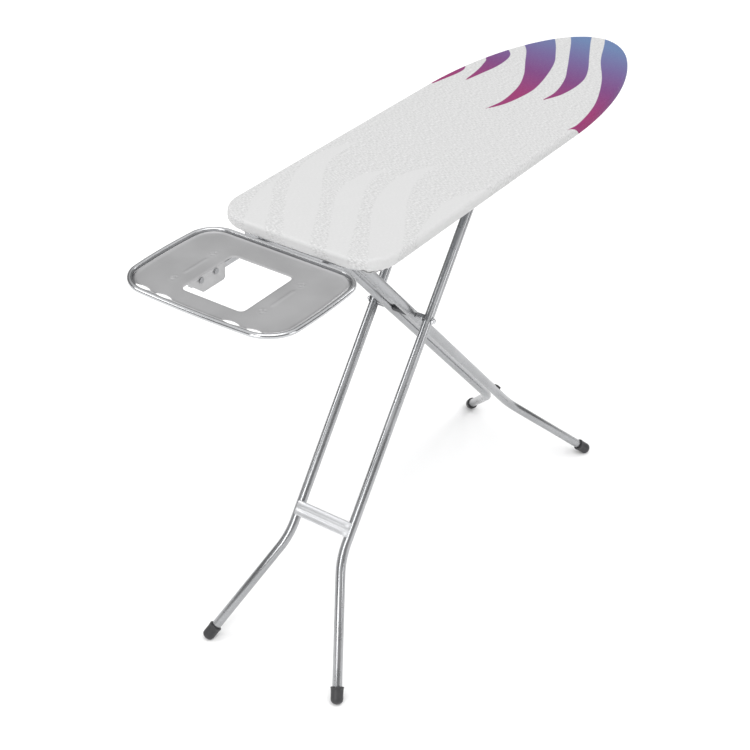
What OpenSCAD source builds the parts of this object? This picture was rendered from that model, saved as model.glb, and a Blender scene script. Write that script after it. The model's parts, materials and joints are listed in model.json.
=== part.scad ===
// Folding ironing board with a scissor leg frame and a fixed iron rest.
// The frame: X runs along the board towards its nose, Y is across it, Z is up.
// The origin is on the floor under the middle of the whole object, legs open.

/* [Board] */
// Length of the ironing surface over its cover
board_l = 1140; // [1100:5:1200]
// Width of the ironing surface over its cover
board_w = 340; // [320:5:360]
// Height of the ironing surface above the floor
board_h = 925; // [900:5:950]
// Distance from the square end to where the nose starts to taper
nose_start = 700; // [640:10:740]
// Corner radius of the square end
tail_r = 70; // [50:5:80]
// Height of the cover's side
cover_side = 20; // [18:1:24]

/* [Legs] */
// Outside diameter of the leg tubes
tube_d = 19; // [18:0.5:20]
// Wall of the leg tubes
tube_wall = 1.2; // [1:0.1:1.6]
// Distance of the crossing pivot from the square end
pivot_x = 358; // [352:1:364]
// Height of the crossing pivot
pivot_z = 616; // [610:1:620]
// How far the wide leg's feet stand beyond the square end
wide_foot_x = 58; // [50:1:66]
// Distance of the narrow leg's feet from the square end
narrow_foot_x = 950; // [940:1:960]
// Half the distance between the wide leg's tubes
wide_half = 61.2; // [61:0.1:63]
// Half the distance between the narrow leg's tubes
narrow_half = 26; // [24:0.5:26]
// Half the distance between two feet of one leg
foot_half = 154; // [150:1:157]

/* [Iron rest] */
// How far the iron rest reaches beyond the square end
rest_reach = 264; // [255:1:270]
// Width of the iron rest over its rim
rest_w = 336; // [320:1:338]
// Length of the window in the iron rest
window_l = 136; // [120:1:140]
// Width of the window in the iron rest
window_w = 124; // [110:1:124]

/* [Hidden] */
$fn = 48;
eps = 1;
mid_x = (board_l - rest_reach) / 2;
half_w = board_w / 2;
tube_r = tube_d / 2;
nose_power = 1.87;

// layers of the ironing surface, from the top down
cover_t = 2;
pad_t = 7.8;
sheet_t = 0.8;
pad_z = board_h - cover_t - pad_t;
sheet_z = pad_z - sheet_t;
cover_z = board_h - cover_side;
rail_out = 9;
rail_in = 21;
rail_h = 15;
rail_t = 1.2;
rail_z = sheet_z - rail_h;
tail_cut = tail_r + 6;
steam_hole_d = 14;
steam_pitch_x = 34;
steam_pitch_y = 36;

// feet and leg geometry
cap_r = 13;
cap_l = 20;
foot_z = 12.4;
hinge_z = board_h - 45;
narrow_angle = atan((pivot_z - foot_z) / (narrow_foot_x - pivot_x));
wide_angle = atan((pivot_z - foot_z) / (pivot_x + wide_foot_x));
narrow_foot_u = (pivot_z - foot_z) / sin(narrow_angle);
wide_foot_u = (pivot_z - foot_z) / sin(wide_angle);
hinge_u = (hinge_z - pivot_z) / sin(narrow_angle);
hinge_x = pivot_x - hinge_u * cos(narrow_angle);
slide_off = 16;
slide_u = (hinge_z - pivot_z + slide_off * (1 - cos(wide_angle))) / sin(wide_angle);
slide_z = hinge_z + slide_off;
slide_x = pivot_x + slide_u * cos(wide_angle) - slide_off * sin(wide_angle);
slide_x_folded = hinge_x + hinge_u + slide_u;
slide_rise = 8.2;
narrow_corner_u = 620;
wide_corner_u = 488;
narrow_bend_r = 115;
wide_bend_r = 170;
rod_r = 4;
run_gap = 0.06;
bend_swell = 0.05;
grip = 0.5;

// height rack, lever and slide
rack_half = 41;
rack_t = 2;
rack_x0 = 486;
rack_x1 = 846;
rack_low = 884;
bar_w = 22;
glide_r = 5.5;
lever_x = 500;
lever_z = 897;
lever_r = 3;
lever_y = 141;
lever_reach = 88;

// iron rest
rim_r = 4.5;
rim_z = 906.5;
plate_z = 904.5;
plate_t = 1.5;
rest_x0 = -rest_reach + rim_r;
rest_x1 = -11 - rim_r;
rest_half = rest_w / 2 - rim_r;
rest_r_out = 46;
rest_r_in = 38;
window_x0 = -212;
flange_y = 62;
flange_t = 1.5;
arm_z = 891.5;

// half the board's width at a place along it
function nose_half(x) =
    x < nose_start ? half_w
    : half_w * sqrt(1 - pow((x - nose_start) / (board_l - nose_start), nose_power));

// the board's outline from the tail corner to the nose tip, on the +Y side
tail_points = [for (a = [180:-7.5:90]) [tail_r + tail_r * cos(a), half_w - tail_r + tail_r * sin(a)]];
nose_points = [for (t = [0:0.05:0.8])
    let (x = nose_start + (board_l - nose_start) * t) [x, nose_half(x)]];
tip_points = [for (f = [0.54:-0.06:0.06])
    [nose_start + (board_l - nose_start) * pow(1 - f * f, 1 / nose_power), f * half_w]];
side_points = concat(tail_points, nose_points, tip_points, [[board_l, 0]]);

function unit(v) = v / norm(v);
function turn_right(v) = [v[1], -v[0]];

// the same outline moved inwards by a distance
function inset_points(d) = [for (i = [0:len(side_points) - 1])
    let (p = side_points[i])
    let (before = side_points[max(i - 1, 0)], after = side_points[min(i + 1, len(side_points) - 1)])
    let (n = i == len(side_points) - 1 ? [-1, 0] : i == 0 ? [1, 0] : turn_right(unit(after - before)))
    p + d * n];
function with_mirror(pts) = concat(pts, [for (i = [len(pts) - 2:-1:0]) [pts[i][0], -pts[i][1]]]);

module outline(inset) {
    polygon(with_mirror(inset_points(inset)));
}

module ring(out, in) {
    difference() {
        outline(out);
        outline(in);
    }
}

module from_tail() {
    translate([-mid_x, 0, 0]) children();
}

// leg frames: local X runs along the leg from the crossing pivot, local Z is the leg's upper side
module narrow_frame() {
    from_tail() translate([pivot_x, 0, pivot_z]) rotate([0, narrow_angle, 0]) children();
}

module wide_frame() {
    from_tail() translate([pivot_x, 0, pivot_z]) rotate([0, -wide_angle, 0]) mirror([1, 0, 0]) children();
}

module side(s) {
    if (s > 0) children();
    else mirror([0, 1, 0]) children();
}

module cross_cylinder(r, y0, y1) {
    translate([0, y1, 0]) rotate([90, 0, 0]) cylinder(r = r, h = y1 - y0);
}

module pipe(l, swell) {
    rotate([0, 90, 0]) difference() {
        cylinder(r = tube_r + swell, h = l);
        translate([0, 0, -eps]) cylinder(r = tube_r - tube_wall - swell, h = l + 2 * eps);
    }
}

// A tube that runs straight, bends outwards and runs straight to its end, 5 mm short of the foot.
// Its last stretch grips the bend's end inside its wall, which is a hair thicker.
module bent_tube(head, half, corner, foot, bend_r) {
    splay = atan((foot_half - half) / (foot - corner));
    lead = bend_r * tan(splay / 2);
    translate([-head, half, 0]) pipe(head + corner - lead, 0);
    translate([corner - lead, half + bend_r, 0]) rotate([0, 0, -90])
        rotate_extrude(angle = splay, $fn = 96) translate([bend_r, 0]) difference() {
            circle(r = tube_r);
            circle(r = tube_r - tube_wall);
        }
    translate([corner + lead * cos(splay), half + lead * sin(splay), 0]) rotate([0, 0, splay])
        translate([-grip, 0, 0]) pipe((foot - corner) / cos(splay) - lead - 5 + grip, bend_swell);
}

module foot_cap(half, corner, foot) {
    splay = atan((foot_half - half) / (foot - corner));
    translate([foot, foot_half, 0]) rotate([0, 0, splay]) rotate([0, 90, 0])
        rotate_extrude() difference() {
            union() {
                translate([0, -cap_l]) square([cap_r, cap_l]);
                intersection() {
                    circle(r = cap_r);
                    square([cap_r, cap_r]);
                }
            }
            translate([0, -cap_l - eps]) square([tube_r + bend_swell, cap_l + eps - 5]);
        }
}

module above_floor() {
    difference() {
        children();
        translate([-1000, -300, -60]) cube([2000, 600, 60]);
    }
}

// ---- ironing surface ----
module cover() {
    color([0.88, 0.88, 0.88]) from_tail() {
        translate([0, 0, cover_z]) linear_extrude(cover_side - cover_t) ring(0, cover_t);
        translate([0, 0, board_h - cover_t]) linear_extrude(cover_t) outline(0);
    }
}

module foam_pad() {
    color([0.95, 0.93, 0.85]) from_tail() translate([0, 0, pad_z]) linear_extrude(pad_t) outline(cover_t + 0.3);
}

module top_sheet() {
    skirt_h = sheet_z - cover_z - 1;
    rows = floor((board_w - 90) / steam_pitch_y / 2);
    last = floor((nose_start + 300) / steam_pitch_x);
    color([0.75, 0.76, 0.78]) from_tail() {
        translate([0, 0, sheet_z]) linear_extrude(sheet_t) difference() {
            outline(cover_t + 0.3);
            for (i = [1:last], j = [-rows:rows]) {
                x = i * steam_pitch_x;
                y = (j + (i % 2) / 2) * steam_pitch_y;
                if (abs(y) < nose_half(x) - 36) translate([x, y]) circle(d = steam_hole_d);
            }
        }
        translate([0, 0, sheet_z - skirt_h]) linear_extrude(skirt_h) ring(cover_t + 0.3, cover_t + 0.3 + sheet_t);
    }
}

// A stretch of the rail: a channel that is open underneath.
module rail_part(x0, x1, y0, y1) {
    color([0.72, 0.73, 0.75]) from_tail() {
        translate([0, 0, sheet_z - rail_t]) linear_extrude(rail_t) intersection() {
            ring(rail_out, rail_in);
            translate([x0, y0]) square([x1 - x0, y1 - y0]);
        }
        translate([0, 0, rail_z]) linear_extrude(rail_h - rail_t) intersection() {
            union() {
                ring(rail_out, rail_out + rail_t);
                ring(rail_in - rail_t, rail_in);
            }
            translate([x0, y0]) square([x1 - x0, y1 - y0]);
        }
    }
}

module left_rail() {
    rail_part(tail_cut, nose_start, 0, half_w);
}

module right_rail() {
    rail_part(tail_cut, nose_start, -half_w, 0);
}

module tail_rail() {
    rail_part(0, tail_cut, -half_w, half_w);
}

module nose_rail() {
    rail_part(nose_start, board_l, -half_w, half_w);
}

// ---- cross bars, leg hinge and height rack ----
// A channel between the rails, a little short of them where the nose tapers.
module cross_bar(x) {
    slack = x + bar_w > nose_start ? 2 : 0;
    half = nose_half(x + bar_w) - rail_in - slack;
    color([0.70, 0.71, 0.73]) from_tail() difference() {
        translate([x, -half, rail_z]) cube([bar_w, 2 * half, rail_h]);
        translate([x + rail_t, -half - eps, rail_z - eps])
            cube([bar_w - 2 * rail_t, 2 * (half + eps), rail_h - rail_t + eps]);
    }
}

module hinge_cross_bar() {
    cross_bar(hinge_x - bar_w / 2);
}

module rear_cross_bar() {
    cross_bar(rack_x0 - bar_w);
}

module front_cross_bar() {
    cross_bar(rack_x1);
}

module hinge_bracket() {
    ear_in = 38;
    ear_t = 2.5;
    ear_l = 34;
    ear_low = hinge_z - 12;
    color([0.70, 0.71, 0.73]) from_tail() difference() {
        translate([hinge_x - ear_l / 2, -ear_in - ear_t, ear_low])
            cube([ear_l, 2 * (ear_in + ear_t), rail_z - ear_low]);
        translate([hinge_x - ear_l / 2 - eps, -ear_in, ear_low - eps])
            cube([ear_l + 2 * eps, 2 * ear_in, rail_z - ear_low + eps - 2.5]);
        translate([hinge_x, 0, hinge_z]) cross_cylinder(rod_r, -ear_in - 10, ear_in + 10);
    }
}

module hinge_rod() {
    color([0.80, 0.80, 0.82]) from_tail() translate([hinge_x, 0, hinge_z]) cross_cylinder(rod_r, -44, 44);
}

module hinge_rod_caps() {
    color([0.80, 0.80, 0.82]) from_tail() translate([hinge_x, 0, hinge_z]) for (s = [-1, 1]) side(s) difference() {
        cross_cylinder(7.5, 40.5, 45.5);
        cross_cylinder(rod_r, 40, 44);
    }
}

module height_rack() {
    slot_h = 2 * glide_r + slide_rise + 0.9;
    slot_z = slide_z - glide_r - 0.4;
    slot_x = slide_x - glide_r - 0.6;
    color([0.70, 0.71, 0.73]) from_tail() difference() {
        translate([rack_x0, -rack_half, rack_low]) cube([rack_x1 - rack_x0, 2 * rack_half, sheet_z - rack_low]);
        translate([rack_x0 - eps, -rack_half + rack_t, rack_low - eps])
            cube([rack_x1 - rack_x0 + 2 * eps, 2 * (rack_half - rack_t), sheet_z - rack_low + eps - rack_t]);
        translate([slot_x, -rack_half - eps, slot_z])
            cube([slide_x_folded + glide_r + 1 - slot_x, 2 * rack_half + 2 * eps, slot_h]);
        translate([lever_x, 0, lever_z]) cross_cylinder(lever_r + run_gap, -rack_half - eps, rack_half + eps);
    }
}

module rack_rivets() {
    color([0.80, 0.80, 0.82]) from_tail() for (x = [rack_x0 + 12, rack_x1 - 12], y = [-24, 24])
        translate([x, y, sheet_z - rack_t - 1.5]) cylinder(r = 4, h = 1.5);
}

module lever_spring() {
    root_x = lever_x - 12;
    tip_x = lever_x + 26;
    top = sheet_z - rack_t;
    color([0.55, 0.56, 0.58]) from_tail() translate([0, 3, 0]) rotate([90, 0, 0]) linear_extrude(6)
        polygon([[root_x, top], [lever_x + 6, top], [tip_x, 908.4], [tip_x + 6, 909.2], [tip_x + 6, 908.4],
            [tip_x, 907.6], [lever_x + 5.7, top - 0.8], [root_x, top - 0.8]]);
}

// ---- iron rest ----
module tail_strip() {
    color([0.70, 0.71, 0.73]) from_tail() translate([2.5, -half_w + tail_r, arm_z])
        cube([rail_out - 2.5, board_w - 2 * tail_r, cover_z - 0.5 - arm_z]);
}

module rest_arm(s) {
    color([0.70, 0.71, 0.73]) from_tail() side(s) difference() {
        translate([-182, flange_y + flange_t, arm_z]) cube([182 + 2.5, 8, rim_z - rim_r - arm_z]);
        for (x = [-122, -160]) translate([x, 0, 897]) cross_cylinder(2.5, flange_y, flange_y + 20);
    }
}

module rest_arm_left() {
    rest_arm(1);
}

module rest_arm_right() {
    rest_arm(-1);
}

module rest_bracket(s) {
    color([0.72, 0.73, 0.74]) from_tail() side(s) {
        difference() {
            translate([0, flange_y + flange_t, 0]) rotate([90, 0, 0]) linear_extrude(flange_t)
                polygon([[-196, plate_z], [-98, plate_z], [-98, 876], [-102, 872], [-152, 872], [-156, 873]]);
            for (x = [-122, -160]) translate([x, 0, 897]) cross_cylinder(2.5, flange_y - eps, flange_y + 5);
        }
        translate([-196, flange_y + flange_t, plate_z - flange_t]) cube([110, 36, flange_t]);
    }
}

module rest_bracket_left() {
    rest_bracket(1);
}

module rest_bracket_right() {
    rest_bracket(-1);
}

// A rectangle with round corners, one radius at each end along X.
module round_rect(x0, x1, half, r0, r1) {
    translate([x0 + r0, -half]) square([x1 - r1 - x0 - r0, 2 * half]);
    translate([x0, -half + r0]) square([r0, 2 * (half - r0)]);
    translate([x1 - r1, -half + r1]) square([r1, 2 * (half - r1)]);
    for (s = [-1, 1]) {
        translate([x0 + r0, s * (half - r0)]) circle(r = r0, $fn = 96);
        translate([x1 - r1, s * (half - r1)]) circle(r = r1, $fn = 96);
    }
}

module rest_plate() {
    slot_l = 36;
    slot_w = 8;
    color([0.70, 0.70, 0.70]) from_tail() translate([0, 0, plate_z]) linear_extrude(plate_t) difference() {
        round_rect(rest_x0 + rim_r, rest_x1 - rim_r, rest_half - rim_r, rest_r_out - rim_r, rest_r_in - rim_r);
        round_rect(window_x0, window_x0 + window_l, window_w / 2, 10, 10);
        for (s = [-1, 1], y = [67, 112]) translate([rest_x0 + rim_r + 5.5, s * y]) {
            translate([-slot_w / 2, -(slot_l - slot_w) / 2]) square([slot_w, slot_l - slot_w]);
            for (e = [-1, 1]) translate([0, e * (slot_l - slot_w) / 2]) circle(d = slot_w);
        }
    }
}

module rim_corner(x, y, r, a) {
    translate([x, y, 0]) rotate([0, 0, a]) rotate_extrude(angle = 90, $fn = 96) translate([r, 0]) circle(r = rim_r);
}

module rest_rim() {
    side_l = rest_x1 - rest_x0 - rest_r_out - rest_r_in;
    color([0.80, 0.81, 0.82]) from_tail() translate([0, 0, rim_z]) {
        for (s = [-1, 1]) {
            translate([rest_x0 + rest_r_out, s * rest_half, 0]) rotate([0, 90, 0]) cylinder(r = rim_r, h = side_l);
        }
        translate([rest_x0, 0, 0]) cross_cylinder(rim_r, -rest_half + rest_r_out, rest_half - rest_r_out);
        translate([rest_x1, 0, 0]) cross_cylinder(rim_r, -rest_half + rest_r_in, rest_half - rest_r_in);
        rim_corner(rest_x0 + rest_r_out, rest_half - rest_r_out, rest_r_out, 90);
        rim_corner(rest_x0 + rest_r_out, -rest_half + rest_r_out, rest_r_out, 180);
        rim_corner(rest_x1 - rest_r_in, rest_half - rest_r_in, rest_r_in, 0);
        rim_corner(rest_x1 - rest_r_in, -rest_half + rest_r_in, rest_r_in, 270);
    }
}

module rest_bolts() {
    color([0.45, 0.45, 0.46]) from_tail() for (s = [-1, 1], x = [-122, -160]) translate([x, 0, 897]) side(s) {
        cross_cylinder(2.5, flange_y, flange_y + 9.5 + 3);
        cross_cylinder(5, flange_y - 2.5, flange_y);
        cross_cylinder(4.5, flange_y + 9.5, flange_y + 12.5);
    }
}

// ---- narrow leg ----
module narrow_tube(s) {
    color([0.72, 0.73, 0.75]) narrow_frame() side(s) difference() {
        bent_tube(hinge_u + 11, narrow_half, narrow_corner_u, narrow_foot_u, narrow_bend_r);
        for (u = [0, -hinge_u]) translate([u, 0, 0]) cross_cylinder(rod_r + run_gap, 0, 60);
    }
}

module narrow_tube_left() {
    narrow_tube(1);
}

module narrow_tube_right() {
    narrow_tube(-1);
}

// A pressed web between the two tubes, from just below the hinge to above the crossing.
module head_channel() {
    web_low = 2;
    web_high = 4;
    start_u = -hinge_u + 14;
    end_u = -96;
    color([0.68, 0.69, 0.71]) narrow_frame() difference() {
        translate([start_u, -narrow_half + 4, web_low]) cube([end_u - start_u, 2 * narrow_half - 8, web_high - web_low]);
        for (s = [-1, 1]) translate([start_u - eps, s * narrow_half, 0]) rotate([0, 90, 0])
            cylinder(r = tube_r, h = end_u - start_u + 2 * eps);
    }
}

module narrow_spacer() {
    color([0.45, 0.45, 0.46]) narrow_frame() difference() {
        cross_cylinder(7, -narrow_half + tube_r, narrow_half - tube_r);
        cross_cylinder(rod_r + run_gap, -narrow_half, narrow_half);
    }
}

module leg_bumpers() {
    color([0.12, 0.12, 0.12]) narrow_frame() for (s = [-1, 1]) side(s) difference() {
        translate([516, narrow_half - 4.5, 0]) cube([18, 9, tube_r + 3.5]);
        translate([500, narrow_half, 0]) rotate([0, 90, 0]) cylinder(r = tube_r, h = 50);
    }
}

module narrow_foot(s) {
    color([0.27, 0.27, 0.28]) above_floor() narrow_frame() side(s)
        foot_cap(narrow_half, narrow_corner_u, narrow_foot_u);
}

module narrow_foot_left() {
    narrow_foot(1);
}

module narrow_foot_right() {
    narrow_foot(-1);
}

// ---- wide leg ----
module wide_tube(s) {
    color([0.72, 0.73, 0.75]) wide_frame() side(s) difference() {
        bent_tube(slide_u + 6, wide_half, wide_corner_u, wide_foot_u, wide_bend_r);
        cross_cylinder(rod_r, 0, 90);
    }
}

module wide_tube_left() {
    wide_tube(1);
}

module wide_tube_right() {
    wide_tube(-1);
}

module brace_plate() {
    plate_w = 30;
    brace_u = 430;
    color([0.80, 0.81, 0.82]) wide_frame() difference() {
        translate([brace_u - plate_w / 2, -wide_half - 2, tube_r - 2]) cube([plate_w, 2 * wide_half + 4, 4.5]);
        translate([brace_u - 3, -wide_half - 10, tube_r + 1.3]) cube([6, 2 * wide_half + 20, 5]);
        for (s = [-1, 1]) translate([brace_u - 30, s * wide_half, 0]) rotate([0, 90, 0]) cylinder(r = tube_r, h = 60);
    }
}

module pivot_rod() {
    color([0.80, 0.80, 0.82]) wide_frame() cross_cylinder(rod_r, -wide_half - 12, wide_half + 12);
}

module pivot_spacer(s) {
    color([0.62, 0.63, 0.65]) wide_frame() side(s) difference() {
        cross_cylinder(7, narrow_half + tube_r + 0.4, wide_half - tube_r);
        cross_cylinder(rod_r, 0, wide_half);
    }
}

module pivot_spacer_left() {
    pivot_spacer(1);
}

module pivot_spacer_right() {
    pivot_spacer(-1);
}

module pivot_nuts() {
    seat = wide_half + tube_r;
    color([0.85, 0.85, 0.86]) wide_frame() for (s = [-1, 1]) side(s)
        translate([0, seat, 0]) rotate([-90, 0, 0]) rotate_extrude() difference() {
            union() {
                square([7, 2]);
                intersection() {
                    translate([0, 2]) circle(r = 5.5);
                    square([7, 10]);
                }
            }
            translate([0, -eps]) square([rod_r, 2.5 + eps]);
        }
}

module head_fitting(s) {
    color([0.27, 0.27, 0.28]) wide_frame() mirror([1, 0, 0]) side(s) difference() {
        union() {
            translate([slide_u - 20, wide_half, 0]) rotate([0, 90, 0]) cylinder(r = 12, h = 30);
            translate([slide_u - 6.5, wide_half - 8, 4]) cube([13, 16, slide_off - 4]);
            translate([slide_u, 0, slide_off]) cross_cylinder(6.5, wide_half - 8, wide_half + 8);
        }
        translate([slide_u - 30, wide_half, 0]) rotate([0, 90, 0]) cylinder(r = tube_r, h = 36);
        translate([slide_u, 0, slide_off]) cross_cylinder(rod_r, 0, 100);
    }
}

module head_fitting_left() {
    head_fitting(1);
}

module head_fitting_right() {
    head_fitting(-1);
}

module slide_rod() {
    color([0.80, 0.80, 0.82]) from_tail() translate([slide_x, 0, slide_z]) cross_cylinder(rod_r, -72, 72);
}

module slide_glides() {
    color([0.27, 0.27, 0.28]) from_tail() translate([slide_x, 0, slide_z]) for (s = [-1, 1]) side(s) difference() {
        cross_cylinder(glide_r, 36.5, 44);
        cross_cylinder(rod_r, 30, 50);
    }
}

module wide_foot(s) {
    color([0.27, 0.27, 0.28]) above_floor() wide_frame() side(s) foot_cap(wide_half, wide_corner_u, wide_foot_u);
}

module wide_foot_left() {
    wide_foot(1);
}

module wide_foot_right() {
    wide_foot(-1);
}

// ---- height lever ----
module lever_shaft() {
    bend = 8;
    color([0.80, 0.80, 0.82]) from_tail() translate([lever_x, 0, lever_z]) {
        cross_cylinder(lever_r, -lever_y + bend, rack_half + 6);
        translate([bend, -lever_y + bend, 0]) rotate([0, 0, 180]) rotate_extrude(angle = 90)
            translate([bend, 0]) circle(r = lever_r);
        translate([bend, -lever_y, 0]) rotate([0, 90, 0]) cylinder(r = lever_r, h = lever_reach - bend - 6);
    }
}

module lever_pawl() {
    pawl_t = 4;
    arm_top = 906.8 - lever_z;
    arm_low = 902.4 - lever_z;
    tooth_low = 901.6 - lever_z;
    tip = slide_x + 18 - lever_x;
    color([0.62, 0.63, 0.65]) from_tail() translate([lever_x, 0, lever_z]) difference() {
        union() {
            cross_cylinder(6, -pawl_t / 2, pawl_t / 2);
            translate([0, pawl_t / 2, 0]) rotate([90, 0, 0]) linear_extrude(pawl_t)
                polygon([[0, 0], [5, 0], [14, arm_low], [tip - 6, arm_low], [tip - 5, tooth_low],
                    [tip, tooth_low], [tip, arm_top], [0, 5.5]]);
        }
        cross_cylinder(lever_r, -10, 10);
    }
}

module lever_grip() {
    grip_r = 6;
    grip_l = 58;
    color([0.27, 0.27, 0.28]) from_tail() translate([lever_x + lever_reach - grip_l, -lever_y, lever_z])
        rotate([0, 90, 0]) difference() {
            cylinder(r = grip_r, h = grip_l);
            translate([0, 0, -eps]) cylinder(r = lever_r, h = grip_l - 6 + eps);
        }
}

cover();
foam_pad();
top_sheet();
left_rail();
right_rail();
tail_rail();
nose_rail();
hinge_cross_bar();
rear_cross_bar();
front_cross_bar();
hinge_bracket();
hinge_rod();
hinge_rod_caps();
height_rack();
rack_rivets();
lever_spring();
tail_strip();
rest_arm_left();
rest_arm_right();
rest_bracket_left();
rest_bracket_right();
rest_plate();
rest_rim();
rest_bolts();
narrow_tube_left();
narrow_tube_right();
head_channel();
narrow_spacer();
leg_bumpers();
narrow_foot_left();
narrow_foot_right();
wide_tube_left();
wide_tube_right();
brace_plate();
pivot_rod();
pivot_spacer_left();
pivot_spacer_right();
pivot_nuts();
head_fitting_left();
head_fitting_right();
slide_rod();
slide_glides();
wide_foot_left();
wide_foot_right();
lever_shaft();
lever_pawl();
lever_grip();
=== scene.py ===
"""Folding ironing board: cover, pad, steel top, scissor legs and iron rest, with studio floor and light."""

import json
import math
from collections import namedtuple
from contextlib import contextmanager

import bpy
import numpy as np
from bpy.props import FloatProperty, FloatVectorProperty, PointerProperty
from mathutils import Matrix, Vector
from mathutils.geometry import delaunay_2d_cdt


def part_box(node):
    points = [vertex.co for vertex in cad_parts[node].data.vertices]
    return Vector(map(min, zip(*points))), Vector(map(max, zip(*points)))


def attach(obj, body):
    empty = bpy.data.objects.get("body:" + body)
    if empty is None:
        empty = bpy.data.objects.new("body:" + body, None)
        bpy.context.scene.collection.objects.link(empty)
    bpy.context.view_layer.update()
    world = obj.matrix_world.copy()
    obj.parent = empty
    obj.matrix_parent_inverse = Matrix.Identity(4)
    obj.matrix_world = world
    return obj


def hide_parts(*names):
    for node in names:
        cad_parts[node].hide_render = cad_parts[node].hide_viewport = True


bl_info = {
    "name": "Folding ironing board",
    "version": (1, 0, 0),
    "blender": (4, 5, 0),
    "location": "View3D > Sidebar > Ironing board",
    "description": "Builds the finished surfaces of a folding ironing board around its frame",
    "category": "Add Mesh",
}

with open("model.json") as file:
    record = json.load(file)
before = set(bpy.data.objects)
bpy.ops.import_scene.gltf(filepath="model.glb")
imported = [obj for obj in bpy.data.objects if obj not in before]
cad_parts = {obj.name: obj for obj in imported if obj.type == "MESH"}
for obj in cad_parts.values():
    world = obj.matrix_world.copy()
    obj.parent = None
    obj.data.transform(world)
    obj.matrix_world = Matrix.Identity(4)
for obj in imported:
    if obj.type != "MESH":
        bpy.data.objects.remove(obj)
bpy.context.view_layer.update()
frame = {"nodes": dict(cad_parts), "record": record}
MM = 0.001
BODY_OF = {
    node: body for body, nodes in frame["record"]["behaviour"]["bodies"].items() for node in nodes
}

# Measures that the frame fixes, in metres; X runs from the square end to the nose
TAIL_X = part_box("cover")[0][0]
BOARD_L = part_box("cover")[1][0] - TAIL_X
HALF_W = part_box("cover")[1][1]
TOP_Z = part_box("cover")[1][2]
NOSE_START = 0.700
NOSE_POWER = 1.87
TAIL_R = 0.070
PIVOT = Vector((TAIL_X + 0.358, 0, 0.616))
FOOT_DROP = PIVOT.z - 0.0124
FOOT_HALF = 0.154
TUBE_R = 0.0095
# A leg's half width at its tubes, how far its bends and its head are from the crossing pivot, its bends'
# radius, and how far along X its feet stand from the pivot
Leg = namedtuple("Leg", "half bend_at bend_r head run")
LEGS = {
    "narrow": Leg(0.026, 0.620, 0.115, 0.38078, 0.950 - 0.358),
    "wide": Leg(0.0612, 0.488, 0.170, 0.33503, 0.358 + 0.058),
}


# ---- small tools ----
def linear(code):
    """An sRGB hex colour as linear RGBA."""
    parts = [int(code[i : i + 2], 16) / 255 for i in (1, 3, 5)]
    return [c / 12.92 if c <= 0.04045 else ((c + 0.055) / 1.055) ** 2.4 for c in parts] + [1]


def only(*objects):
    """Leaves object mode with just these objects selected, the first one active."""
    if bpy.context.mode != "OBJECT":
        bpy.ops.object.mode_set(mode="OBJECT")
    bpy.ops.object.select_all(action="DESELECT")
    for obj in objects:
        obj.select_set(True)
    bpy.context.view_layer.objects.active = objects[0]
    return objects[0]


@contextmanager
def editing(obj, mode="FACE", action="SELECT"):
    """Edit mode on one object, selected all over or not at all, and back to object mode."""
    only(obj)
    bpy.ops.object.mode_set(mode="EDIT")
    bpy.ops.mesh.select_mode(type=mode)
    bpy.ops.mesh.select_all(action=action)
    yield
    bpy.ops.object.mode_set(mode="OBJECT")


def from_points(name, points, faces=(), edges=()):
    mesh = bpy.data.meshes.new(name)
    mesh.from_pydata([tuple(p) for p in points], [tuple(e) for e in edges], [tuple(f) for f in faces])
    obj = bpy.data.objects.new(name, mesh)
    bpy.context.scene.collection.objects.link(obj)
    return only(obj)


def modify(obj, kind, **settings):
    """Adds a modifier with its settings and applies it."""
    only(obj)
    mod = obj.modifiers.new(kind.lower(), kind)
    for key, value in settings.items():
        setattr(mod, key, value)
    bpy.ops.object.modifier_apply(modifier=mod.name)


def bevel_edges(obj, width, segments=2, angle=40):
    modify(obj, "BEVEL", width=width, segments=segments, angle_limit=math.radians(angle))


def thicken(obj, thickness, even=True):
    """Gives an open sheet its wall, inwards from its outer face."""
    modify(obj, "SOLIDIFY", thickness=thickness, offset=-1, use_even_offset=even)


def close_up(obj):
    """Merges doubles and turns every face outwards."""
    with editing(obj):
        bpy.ops.mesh.remove_doubles(threshold=1e-6)
        bpy.ops.mesh.normals_make_consistent(inside=False)


def face_up(obj):
    """Turns an open sheet over if it faces down."""
    if sum(p.normal.z for p in obj.data.polygons) < 0:
        obj.data.flip_normals()


def finish_piece(obj, name, slot, material, body, stands_for, angle=35, recalc=True):
    """Names a piece, smooths it, gives it its finish, ties it to its body and hides the CAD node it stands
    for; its slot is not used.
    """
    obj.name = obj.data.name = name
    only(obj)
    bpy.ops.object.transform_apply(location=True, rotation=True, scale=True)
    if recalc:
        close_up(obj)
    only(obj)
    bpy.ops.object.shade_smooth_by_angle(angle=math.radians(angle))
    obj.data.materials.clear()
    obj.data.materials.append(MATERIALS[material])
    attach(obj, body)
    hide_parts(stands_for)


def refined(node, name, slot, material, bevel=0, segments=2):
    """A copy of a CAD node with merged corners, softened edges and smooth round faces."""
    only(frame["nodes"][node])
    bpy.ops.object.duplicate()
    obj = bpy.context.view_layer.objects.active
    obj.parent = None
    for key in [key for key in obj.keys() if key.startswith("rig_")]:
        del obj[key]
    close_up(obj)
    with editing(obj):
        bpy.ops.mesh.dissolve_limited(angle_limit=math.radians(0.5))
    if bevel:
        bevel_edges(obj, bevel, segments)
    finish_piece(obj, name, slot, material, BODY_OF[node], node)


def refine_groups(*groups):
    """Refines groups of nodes: names, what each name gains, slot, material, edge radius and segments."""
    for nodes, ending, slot, material, bevel, segments in groups:
        for node in nodes.split():
            refined(node, f"{node}_{ending}", slot, material, bevel, segments)


def smoothstep(a, b, x):
    t = np.clip((x - a) / (b - a), 0, 1)
    return t * t * (3 - 2 * t)


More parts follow.
